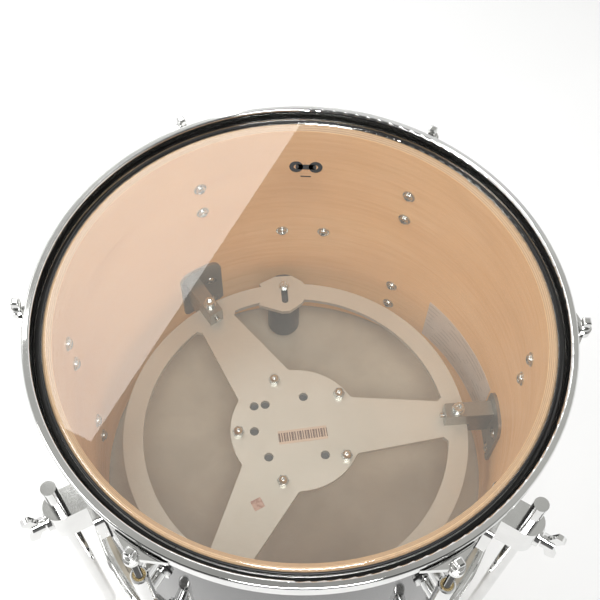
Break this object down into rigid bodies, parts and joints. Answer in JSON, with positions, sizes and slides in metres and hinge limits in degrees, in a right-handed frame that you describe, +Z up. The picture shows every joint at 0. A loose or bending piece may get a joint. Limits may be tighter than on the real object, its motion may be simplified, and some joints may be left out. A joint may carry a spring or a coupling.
{
  "type": "timpani drum",
  "caption": "Two-headed cylindrical drum on legs, with chrome hoops, tension rods, lugs and a three-spoke plate hung inside its wooden shell.",
  "frame": {"origin": "centre of the upper (batter) head's playing face", "axes": "+Z up out of the batter head, +Y towards the leg bracket at the rear, +X to the right through a tension rod"},
  "size_m": [0.4764, 0.488, 0.568],
  "materials": {
    "maple_shell": "natural maple inside, gloss lacquer outside",
    "head_film": "clear polyester film, slightly hazy",
    "coated_film": "coated polyester film, cloudy and satin",
    "flesh_metal": "satin",
    "hoop_chrome": "polished chrome plate",
    "rod_steel": "bright plated steel",
    "washer_steel": "bright",
    "lug_chrome": "polished chrome plate",
    "nut_brass": "machined",
    "screw_steel": "zinc plated",
    "gasket_rubber": "matte black",
    "bracket_chrome": "polished chrome plate",
    "leg_chrome": "polished chrome plate",
    "foot_rubber": "matte black",
    "plate_aluminium": "fine brushed",
    "tie_zinc": "satin zinc",
    "housing_black": "satin slate",
    "canister_black": "satin black",
    "vent_chrome": "polished chrome plate"
  },
  "bodies": {
    "drum": {"batter_film": "head_film", "batter_flesh_hoop": "flesh_metal", "batter_hoop": "hoop_chrome", "batter_rod_washers": "washer_steel", "resonant_film": "coated_film", "resonant_flesh_hoop": "flesh_metal", "resonant_hoop": "hoop_chrome", "resonant_rod_washers": "washer_steel", "upper_lug_1": "lug_chrome", "upper_lug_2": "lug_chrome", "upper_lug_3": "lug_chrome", "upper_lug_4": "lug_chrome", "upper_lug_5": "lug_chrome", "upper_lug_6": "lug_chrome", "lower_lug_1": "lug_chrome", "lower_lug_2": "lug_chrome", "lower_lug_3": "lug_chrome", "lower_lug_4": "lug_chrome", "lower_lug_5": "lug_chrome", "lower_lug_6": "lug_chrome", "shell": "maple_shell", "lug_swivel_nuts": "nut_brass", "lug_screws": "screw_steel", "bracket_screws": "screw_steel", "gaskets": "gasket_rubber", "leg_bracket_1": "bracket_chrome", "spider_bracket_1": "tie_zinc", "leg_bracket_2": "bracket_chrome", "spider_bracket_2": "tie_zinc", "leg_bracket_3": "bracket_chrome", "spider_bracket_3": "tie_zinc", "spider_plate": "plate_aluminium", "spider_bracket_screws": "screw_steel", "hub_nuts": "screw_steel", "hub_housing": "housing_black", "hub_housing_cover": "housing_black", "air_vent": "vent_chrome"},
    "batter_rod_1": {"batter_rod_1": "rod_steel"},
    "batter_rod_2": {"batter_rod_2": "rod_steel"},
    "batter_rod_3": {"batter_rod_3": "rod_steel"},
    "batter_rod_4": {"batter_rod_4": "rod_steel"},
    "batter_rod_5": {"batter_rod_5": "rod_steel"},
    "batter_rod_6": {"batter_rod_6": "rod_steel"},
    "resonant_rod_1": {"resonant_rod_1": "rod_steel"},
    "resonant_rod_2": {"resonant_rod_2": "rod_steel"},
    "resonant_rod_3": {"resonant_rod_3": "rod_steel"},
    "resonant_rod_4": {"resonant_rod_4": "rod_steel"},
    "resonant_rod_5": {"resonant_rod_5": "rod_steel"},
    "resonant_rod_6": {"resonant_rod_6": "rod_steel"},
    "leg_1": {"leg_1": "leg_chrome", "leg_foot_1": "foot_rubber"},
    "wing_bolt_1": {"wing_bolt_1": "bracket_chrome"},
    "leg_2": {"leg_2": "leg_chrome", "leg_foot_2": "foot_rubber"},
    "wing_bolt_2": {"wing_bolt_2": "bracket_chrome"},
    "leg_3": {"leg_3": "leg_chrome", "leg_foot_3": "foot_rubber"},
    "wing_bolt_3": {"wing_bolt_3": "bracket_chrome"},
    "canister": {"canister": "canister_black", "canister_bolt": "screw_steel"}
  },
  "joints": [
    {"name": "batter_rod_1_turn", "type": "hinge", "parent": "drum", "child": "batter_rod_1", "pos_m": [0.2225, 0, -0.003], "axis": [0, 0, 1], "continuous": true},
    {"name": "batter_rod_2_turn", "type": "hinge", "parent": "drum", "child": "batter_rod_2", "pos_m": [0.11125, 0.19269, -0.003], "axis": [0, 0, 1], "continuous": true},
    {"name": "batter_rod_3_turn", "type": "hinge", "parent": "drum", "child": "batter_rod_3", "pos_m": [-0.11125, 0.19269, -0.003], "axis": [0, 0, 1], "continuous": true},
    {"name": "batter_rod_4_turn", "type": "hinge", "parent": "drum", "child": "batter_rod_4", "pos_m": [-0.2225, 0, -0.003], "axis": [0, 0, 1], "continuous": true},
    {"name": "batter_rod_5_turn", "type": "hinge", "parent": "drum", "child": "batter_rod_5", "pos_m": [-0.11125, -0.19269, -0.003], "axis": [0, 0, 1], "continuous": true},
    {"name": "batter_rod_6_turn", "type": "hinge", "parent": "drum", "child": "batter_rod_6", "pos_m": [0.11125, -0.19269, -0.003], "axis": [0, 0, 1], "continuous": true},
    {"name": "resonant_rod_1_turn", "type": "hinge", "parent": "drum", "child": "resonant_rod_1", "pos_m": [0.2225, 0, -0.3028], "axis": [0, 0, -1], "continuous": true},
    {"name": "resonant_rod_2_turn", "type": "hinge", "parent": "drum", "child": "resonant_rod_2", "pos_m": [0.11125, 0.19269, -0.3028], "axis": [0, 0, -1], "continuous": true},
    {"name": "resonant_rod_3_turn", "type": "hinge", "parent": "drum", "child": "resonant_rod_3", "pos_m": [-0.11125, 0.19269, -0.3028], "axis": [0, 0, -1], "continuous": true},
    {"name": "resonant_rod_4_turn", "type": "hinge", "parent": "drum", "child": "resonant_rod_4", "pos_m": [-0.2225, 0, -0.3028], "axis": [0, 0, -1], "continuous": true},
    {"name": "resonant_rod_5_turn", "type": "hinge", "parent": "drum", "child": "resonant_rod_5", "pos_m": [-0.11125, -0.19269, -0.3028], "axis": [0, 0, -1], "continuous": true},
    {"name": "resonant_rod_6_turn", "type": "hinge", "parent": "drum", "child": "resonant_rod_6", "pos_m": [0.11125, -0.19269, -0.3028], "axis": [0, 0, -1], "continuous": true},
    {"name": "leg_1_slide", "type": "slide", "parent": "drum", "child": "leg_1", "axis": [0, 0, 1], "range_m": [-0.035, 0.15]},
    {"name": "wing_bolt_1_turn", "type": "hinge", "parent": "drum", "child": "wing_bolt_1", "pos_m": [0, 0.25, -0.1529], "axis": [0, 1, 0], "continuous": true},
    {"name": "leg_2_slide", "type": "slide", "parent": "drum", "child": "leg_2", "axis": [0, 0, 1], "range_m": [-0.035, 0.15]},
    {"name": "wing_bolt_2_turn", "type": "hinge", "parent": "drum", "child": "wing_bolt_2", "pos_m": [-0.21651, -0.125, -0.1529], "axis": [-0.866, -0.5, 0], "continuous": true},
    {"name": "leg_3_slide", "type": "slide", "parent": "drum", "child": "leg_3", "axis": [0, 0, 1], "range_m": [-0.035, 0.15]},
    {"name": "wing_bolt_3_turn", "type": "hinge", "parent": "drum", "child": "wing_bolt_3", "pos_m": [0.21651, -0.125, -0.1529], "axis": [0.866, -0.5, 0], "continuous": true},
    {"name": "canister_slide", "type": "slide", "parent": "drum", "child": "canister", "axis": [-0.108, 0.9942, 0], "range_m": [-0.0165, 0]}
  ]
}
